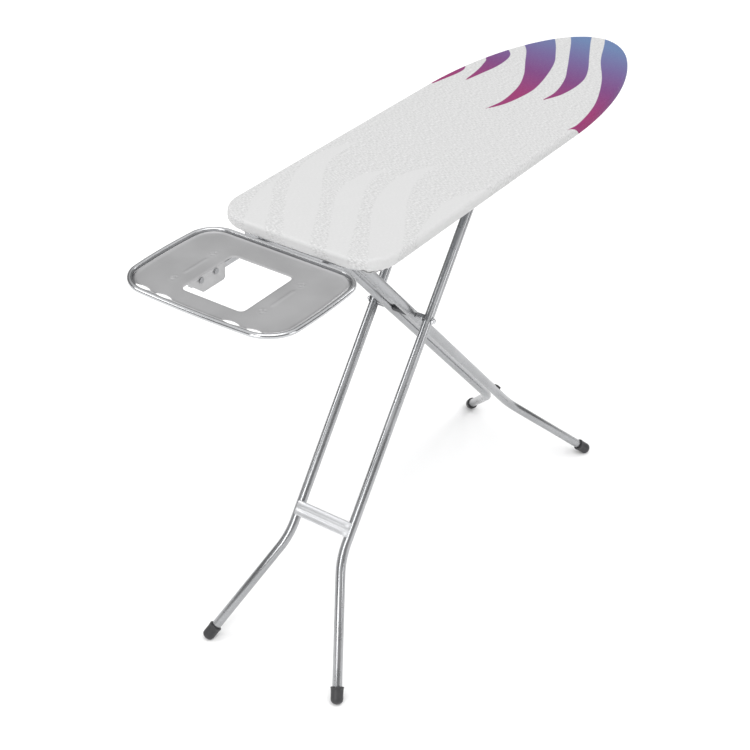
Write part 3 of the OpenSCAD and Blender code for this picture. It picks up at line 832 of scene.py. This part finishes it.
class IRB_OT_pad(bpy.types.Operator):
    """Lays the foam pad between the cover and the steel top"""

    bl_idname = "irb.pad"
    bl_label = "Foam pad"

    def execute(self, context):
        low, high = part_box("foam_pad")
        bottom, top, r = low[2] + 0.0001, high[2] - 0.0006, 0.0055
        loop = board_outline(0.008)
        normal = outward(loop)
        loop = loop - normal * (HALF_W - high[1] + 0.0012)
        section = [(0.0004, bottom), (0, bottom + 0.0008), (0, top - r)]
        turn = np.radians((22.5, 45, 67.5, 90))
        section += [(r * (1 - math.cos(a)), top - r + r * math.sin(a)) for a in turn]
        rows = [np.column_stack([loop - normal * d, np.full(len(loop), z)]) for d, z in section]
        pad = skin("foam_pad", rows)
        with editing(pad, "EDGE", "DESELECT"):
            bpy.ops.mesh.select_non_manifold()
            bpy.ops.mesh.fill()
        finish_piece(pad, "foam_pad_cushion", "pad_foam", "foam", "board", "foam_pad", 50)
        return {"FINISHED"}


class IRB_OT_top(bpy.types.Operator):
    """Finishes the perforated steel top, its rails, cross bars and the parts riveted to them"""

    bl_idname = "irb.top"
    bl_label = "Steel top and rails"

    def execute(self, context):
        refined("top_sheet", "perforated_top", "zinc_sheet", "zinc")
        paint, bright = ("silver_paint", "silver_paint"), ("bright_steel", "bright_zinc")
        refine_groups(
            ("left_rail right_rail tail_rail nose_rail", "channel", *paint, 0.0003, 2),
            ("hinge_cross_bar rear_cross_bar front_cross_bar", "channel", *paint, 0.0004, 2),
            ("hinge_bracket height_rack", "pressed", *paint, 0.0005, 2),
            ("tail_strip", "bar", *paint, 0.0015, 3),
            ("hinge_rod hinge_rod_caps rack_rivets", "turned", *bright, 0.0007, 3),
            ("lever_spring", "leaf", "spring_steel", "blued_spring", 0.0001, 2),
        )
        return {"FINISHED"}


# ---- the iron rest ----
REST_OUT, REST_IN, REST_HALF = TAIL_X - 0.2595, TAIL_X - 0.0155, 0.1635
REST_BOW = 0.0065
WINDOW_OUT, WINDOW_IN, WINDOW_HALF = TAIL_X - 0.212, TAIL_X - 0.076, 0.062
SLOT_X, SLOT_YS = TAIL_X - 0.2490, (-0.067, -0.112, 0.067, 0.112)
CLINCHES = ((-0.092, 0.090), (-0.192, 0.090), (-0.088, -0.087), (-0.191, -0.087))


def rest_outline(inset, step):
    """The rest's outline, moved inwards from the rim's centreline: round corners and slightly bowed sides."""
    r_out, r_in = 0.050, 0.044
    turn = np.radians(np.linspace(0, 90, 20))
    corners = []
    for x, y, r, way_x, way_y in (
        (REST_IN - r_in, REST_HALF - r_in, r_in, 1, 1),
        (REST_IN - r_in, r_in - REST_HALF, r_in, 1, -1),
        (REST_OUT + r_out, r_out - REST_HALF, r_out, -1, -1),
        (REST_OUT + r_out, REST_HALF - r_out, r_out, -1, 1),
    ):
        arc = np.column_stack([x + way_x * r * np.cos(turn), y + way_y * r * np.sin(turn)])
        corners.append(arc[:: -way_x * way_y])
    loop = along(np.vstack(corners), 0.002)
    middle, reach = (REST_OUT + REST_IN) / 2, (REST_IN - REST_OUT) / 2
    off = (loop - [middle, 0]) / [reach, REST_HALF]
    # the inner side stays straight, and no pull acts across a side's middle, where it would fold the line
    near_outer, near_sides = smoothstep(0, 0.9, -off[:, 0]), smoothstep(0, 0.9, np.abs(off[:, 1]))
    pull = np.stack([off[:, 1] ** 2 * near_outer, off[:, 0] ** 2 * near_sides], axis=1)
    loop = loop - REST_BOW * pull * np.sign(off)
    return along(loop - outward(loop) * inset, step)


def window_outline(grow, step):
    """The window's outline with round corners, moved outwards by a distance."""
    x0, x1, half, r = WINDOW_OUT - grow, WINDOW_IN + grow, WINDOW_HALF + grow, 0.010 + grow
    turn = np.radians(np.linspace(90, 0, 8))
    corners = []
    for way_x, way_y in ((1, 1), (1, -1), (-1, -1), (-1, 1)):
        x, y = (x1 - r if way_x > 0 else x0 + r), way_y * (half - r)
        arc = np.column_stack([x + way_x * r * np.cos(turn), y + way_y * r * np.sin(turn)])
        corners.append(arc[:: way_x * way_y])
    return along(np.vstack(corners), step)


def lens_outline(x, y, long_half, wide_half):
    """A lens-shaped slot that follows the rest's bowed outer edge: nearly straight outside, round inside."""
    t = np.linspace(-1, 1, 15)
    run = y + long_half * t
    edge = x + REST_BOW * (run / REST_HALF) ** 2
    outer = np.column_stack([edge - wide_half * 0.55 * (1 - t**2) ** 0.5, run])
    inner = np.column_stack([edge + wide_half * 1.25 * (1 - t**2) ** 0.8, run])[-2:0:-1]
    return np.vstack([outer, inner])


def mound(distance, spread):
    """A smooth rise of height 1 where a distance is nought."""
    return np.exp(-((distance / spread) ** 2))


class IRB_OT_rest(bpy.types.Operator):
    """Presses the iron rest's sheet, rolls its bright rim and finishes its brackets, arms and bolts"""

    bl_idname = "irb.rest"
    bl_label = "Iron rest"

    def execute(self, context):
        sizes = context.scene.irb_sizes
        self.press_sheet(sizes)
        self.roll_rim(sizes.rim_radius)
        refine_groups(
            ("rest_bracket_left rest_bracket_right", "pressed", "rest_sheet", "lacquered_sheet", 0.0004, 2),
            ("rest_arm_left rest_arm_right", "bar", "silver_paint", "silver_paint", 0.0010, 3),
            ("rest_bolts", "turned", "dark_steel", "dull_zinc", 0.0006, 3),
        )
        return {"FINISHED"}

    def press_sheet(self, sizes):
        edge_in = sizes.rim_radius * 0.75
        outer = rest_outline(edge_in, 0.004)
        window = window_outline(0, 0.003)
        slots = [lens_outline(SLOT_X, y, 0.0185, 0.0055) for y in SLOT_YS]
        folds = [rest_outline(edge_in + d, 0.004) for d in (0.0012, 0.0024, 0.0036, 0.0052)]
        folds += [window_outline(g, 0.003) for g in (0.0010, 0.0024)]
        flat, tris = filled(outer, [window, *slots], 0.0030, 0.0016, folds)
        x, y = flat.T
        z = np.full(len(flat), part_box("rest_plate")[1][2] - 0.0001)
        # a groove inside the rim, then a low ridge
        rim = np.abs(edge_distance(flat, outer))
        z -= 0.0026 * (1 - smoothstep(0.0010, 0.0036, rim))
        z += 0.0015 * mound(rim - 0.0052, 0.0013)
        # the window's edge is turned down a little
        z -= 0.0007 * (1 - smoothstep(0, 0.0026, np.abs(edge_distance(flat, window))))
        # clinched joints of the brackets and a pressed rib between each pair
        from_tail = x - TAIL_X
        for cx, cy in CLINCHES:
            for dx, dy in ((-0.0045, 0), (0.0045, 0), (0, 0.005)):
                away = np.hypot(from_tail - cx - dx, y - cy - dy)
                z += 0.0007 * mound(away - 0.0040, 0.0013) - 0.0018 * mound(away, 0.0022)
        within = smoothstep(-0.172, -0.166, from_tail) * (1 - smoothstep(-0.114, -0.108, from_tail))
        for cy in (0.089, -0.087):
            z += 0.0011 * mound(y - cy, 0.0017) * within
        sheet = from_points("rest_sheet", np.column_stack([x, y, z]), tris)
        with editing(sheet):
            bpy.ops.mesh.normals_make_consistent(inside=False)
        face_up(sheet)
        thicken(sheet, sizes.sheet_thickness, even=False)
        finish_piece(sheet, "iron_rest_sheet", "rest_sheet", "lacquered_sheet", "board", "rest_plate", 50)

    def roll_rim(self, r):
        """A rolled bead with a fold line on its inner side, where the sheet is clenched."""
        low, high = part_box("rest_rim")
        middle_z = (low[2] + high[2]) / 2
        line = rest_outline(0, 0.004)
        normal = outward(line)
        section = [(math.cos(a), math.sin(a)) for a in np.radians(np.arange(-150, 151, 15))]
        section += [(-0.80, 0.30), (-0.98, 0.02), (-0.98, -0.28)]
        level = np.full(len(line), r)
        rows = [np.column_stack([line + normal * r * out, middle_z + level * up]) for out, up in section]
        rim = skin("rest_rim", rows, closed_section=True)
        finish_piece(rim, "iron_rest_rim", "bright_steel", "lacquered_wire", "board", "rest_rim", 60)


# ---- the legs ----
class IRB_OT_legs(bpy.types.Operator):
    """Finishes the bent leg tubes, the web at the narrow leg's head and the crossing pivot"""

    bl_idname = "irb.legs"
    bl_label = "Leg tubes"

    def execute(self, context):
        for leg in LEGS:
            for hand, name in ((1, "left"), (-1, "right")):
                tube = self.bend_tube(leg)
                tube.data.transform(leg_place(leg, hand))
                node = f"{leg}_tube_{name}"
                finish_piece(tube, node + "_bent", "silver_paint", "silver_paint", leg + "_leg", node, 50)
        self.press_web()
        nylon = ("black_plastic", "black_nylon")
        refine_groups(
            ("pivot_spacer_left pivot_spacer_right", "bush", "silver_paint", "silver_paint", 0.0008, 2),
            ("narrow_spacer", "sleeve", "dark_steel", "phosphated", 0.0006, 2),
            ("pivot_rod pivot_nuts slide_rod", "turned", "bright_steel", "bright_zinc", 0.0005, 3),
            ("head_fitting_left head_fitting_right slide_glides", "moulded", *nylon, 0.0008, 3),
            ("leg_bumpers", "rubber", "black_rubber", "rubber", 0.0022, 4),
        )
        return {"FINISHED"}

    def press_web(self):
        """The pressed web between the narrow leg's tubes, with side folds and a lip at its lower end."""
        leg = LEGS["narrow"]
        half = leg.half - TUBE_R * 0.96
        start, end = 0.025 - leg.head, -0.096
        across = np.array([-1, -0.98, -0.86, -0.70, -0.35, 0, 0.35, 0.70, 0.86, 0.98, 1]) * half
        fold = np.array([-1, 1.2, 3.6, 4.0, 3.2, 2.9, 3.2, 4.0, 3.6, 1.2, -1]) * MM
        lower_end = end - np.array([0.011, 0.007, 0.004, 0.0015, 0])
        rows = []
        for u in (*np.linspace(start, end - 0.016, 9), *lower_end):
            lip = smoothstep(end - 0.012, end, u)
            notch = 0.007 * lip * (1 - np.abs(across) / half)
            rows.append(np.column_stack([u - notch, across, fold + 0.0012 * lip]))
        web = skin("web", rows, closed_rows=False)
        face_up(web)
        thicken(web, 0.0015)
        bevel_edges(web, 0.0003, angle=60)
        web.data.transform(leg_place("narrow"))
        paint = "silver_paint"
        finish_piece(web, "head_channel_pressed", paint, paint, "narrow_leg", "head_channel", 50)

    def bend_tube(self, leg):
        """A tube swept from its head, round its bend and on into its foot cap."""
        half, bend_at, bend_r, head, _ = LEGS[leg]
        splay = leg_splay(leg)
        lead = bend_r * math.tan(splay / 2)
        last = (foot_along(leg) - bend_at) / math.cos(splay) - lead - 0.005
        stations = [(-head, half, 0)]
        for turn in np.linspace(0, splay, 15):
            x, y = bend_at - lead + bend_r * math.sin(turn), half + bend_r * (1 - math.cos(turn))
            stations.append((x, y, turn))
        stations.append((x + last * math.cos(turn), y + last * math.sin(turn), turn))
        ring = np.linspace(0, 2 * math.pi, 40, endpoint=False)
        across, up = TUBE_R * np.cos(ring), TUBE_R * np.sin(ring)
        rows = [
            np.column_stack([x - across * math.sin(t), y + across * math.cos(t), up]) for x, y, t in stations
        ]
        tube = skin("tube", rows)
        close_up(tube)
        thicken(tube, 0.0012)
        bevel_edges(tube, 0.0004, angle=60)
        return tube


class IRB_OT_brace(bpy.types.Operator):
    """Presses the wide leg's brace: two raised bands, a groove between them and rolled edges"""

    bl_idname = "irb.brace"
    bl_label = "Brace plate"

    def execute(self, context):
        half_u = context.scene.irb_sizes.brace_width / 2
        middle, half_y, level = 0.430, 0.0632, 0.0101
        # half of the section, from the rolled edge to the groove: share of the half width, and height in mm
        edge_to_groove = [(1, 7.6), (1, 9.6), (0.93, 11.0), (0.78, 11.7), (0.45, 12.0), (0.27, 11.6)]
        edge_to_groove.append((0.17, 10.7))
        u, z = np.array([(-a, b) for a, b in edge_to_groove] + [(0, 10.4)] + edge_to_groove[::-1]).T
        u, z = u * half_u, z * MM
        half_run = [0.3, 0.6, 0.8, 0.90, 0.95, 0.985, 1]
        rows = []
        for s in [-t for t in half_run[::-1]] + [0] + half_run:
            # the bands run out flat over the tubes, where the brace is welded
            band = 1 - smoothstep(0.80, 0.95, abs(s))
            shape = np.where(z > level, level + (z - level) * (0.35 + 0.65 * band), z)
            narrow = 1 - 0.10 * smoothstep(0.94, 1.0, abs(s))
            rows.append(np.column_stack([middle + u * narrow, np.full(len(u), s * half_y), shape]))
        brace = skin("brace", rows, closed_rows=False)
        face_up(brace)
        thicken(brace, 0.0012)
        modify(brace, "SUBSURF", levels=2, render_levels=2)
        brace.data.transform(leg_place("wide"))
        # The brace takes the lighter copy of the paint, which paints light onto it.
        finish_piece(brace, "pressed_brace", "silver_paint", "brace_paint", "wide_leg", "brace_plate", 50)
        return {"FINISHED"}


# Half sections of the turned pieces, in millimetres: along the axis, and out from it.
CAP_MOUTH = [(-15, 9.56), (-19.6, 9.62), (-20, 10.0), (-20, 12.4), (-19.4, 12.95), (-17.6, 13.0)]
CAP_BODY = [(-16.6, 12.5), (-12, 12.25), (-6, 12.15), (0, 12.2), (4, 12.15)]
CAP_END = [(7.2, 11.3), (9.8, 9.2), (11.6, 6.2), (12.5, 3.0), (12.8, 0)]


class IRB_OT_caps(bpy.types.Operator):
    """Turns one foot cap, with a flared mouth and a rounded end, and fits a copy on each tube"""

    bl_idname = "irb.caps"
    bl_label = "Foot caps"

    def execute(self, context):
        grow = context.scene.irb_sizes.cap_radius / 0.013
        section = [(a * MM, b * MM * grow) for a, b in CAP_MOUTH + CAP_BODY + CAP_END]
        for leg in LEGS:
            turn = Matrix.Rotation(leg_splay(leg), 4, "Z")
            place = Matrix.Translation((foot_along(leg), FOOT_HALF, 0)) @ turn
            for hand, name in ((1, "left"), (-1, "right")):
                cap = turned("cap", section, (0, 0, 0), 40)
                close_up(cap)
                cap.data.transform(leg_place(leg, hand) @ place)
                self.flatten_sole(cap)
                names = f"{leg}_foot_cap_{name}", f"{leg}_foot_{name}"
                finish_piece(cap, names[0], "cap_plastic", "cap_plastic", leg + "_leg", names[1], 40)
        return {"FINISHED"}

    def flatten_sole(self, cap):
        """Cuts the cap off just above the floor."""
        with editing(cap):
            bpy.ops.mesh.bisect(
                plane_co=(0, 0, 0.0002), plane_no=(0, 0, -1), use_fill=True, clear_outer=True, threshold=1e-6
            )


class IRB_OT_lever(bpy.types.Operator):
    """Finishes the height lever: its bent shaft, pawl and ribbed grip"""

    bl_idname = "irb.lever"
    bl_label = "Height lever"

    def execute(self, context):
        refine_groups(
            ("lever_shaft", "bent", "bright_steel", "bright_zinc", 0.0004, 2),
            ("lever_pawl", "pressed", "dark_steel", "phosphated", 0.0005, 2),
        )
        low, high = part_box("lever_grip")
        r, end = (high[1] - low[1]) / 2, high[0] - low[0]
        section = [(0, 0.0031), (0, r * 0.72), (0.0012, r * 0.9)]
        ribs = 9
        for i in range(ribs):
            a = 0.004 + i * (end - 0.016) / (ribs - 1)
            section += [(a, r * 0.98), (a + 0.0012, r * 0.86), (a + 0.0030, r * 0.86), (a + 0.0042, r * 0.98)]
        section += [(end - 0.004, r), (end - 0.0015, r * 0.8), (end, r * 0.4), (end, 0)]
        grip = turned("grip", section, (low[0], (low[1] + high[1]) / 2, (low[2] + high[2]) / 2), 28)
        nylon = ("black_plastic", "black_nylon")
        finish_piece(grip, "lever_grip_ribbed", *nylon, "height_lever", "lever_grip", 40)
        return {"FINISHED"}


class IRB_PT_panel(bpy.types.Panel):
    """Builds the ironing board, a group of pieces at a time"""

    bl_idname = "IRB_PT_panel"
    bl_label = "Ironing board"
    bl_space_type = "VIEW_3D"
    bl_region_type = "UI"
    bl_category = "Ironing board"

    def draw(self, context):
        scene = context.scene
        for group in (scene.irb_sizes, scene.irb_colours, scene.irb_studio):
            for key in group.bl_rna.properties.keys():
                if key not in ("rna_type", "name"):
                    self.layout.prop(group, key)
        for operator in OPERATORS:
            self.layout.operator(operator.bl_idname)


OPERATORS = (
    IRB_OT_finishes,
    IRB_OT_stage,
    IRB_OT_pad,
    IRB_OT_cover,
    IRB_OT_top,
    IRB_OT_rest,
    IRB_OT_legs,
    IRB_OT_brace,
    IRB_OT_caps,
    IRB_OT_lever,
)
CLASSES = (IRB_Sizes, IRB_Colours, IRB_Studio, *OPERATORS, IRB_PT_panel)


def register():
    for cls in CLASSES:
        bpy.utils.register_class(cls)
    bpy.types.Scene.irb_sizes = PointerProperty(type=IRB_Sizes)
    bpy.types.Scene.irb_colours = PointerProperty(type=IRB_Colours)
    bpy.types.Scene.irb_studio = PointerProperty(type=IRB_Studio)


def unregister():
    del bpy.types.Scene.irb_studio
    del bpy.types.Scene.irb_colours
    del bpy.types.Scene.irb_sizes
    for cls in reversed(CLASSES):
        bpy.utils.unregister_class(cls)


def main():
    register()
    for operator in OPERATORS:
        group, name = operator.bl_idname.split(".")
        getattr(getattr(bpy.ops, group), name)()


if __name__ == "__main__":
    main()
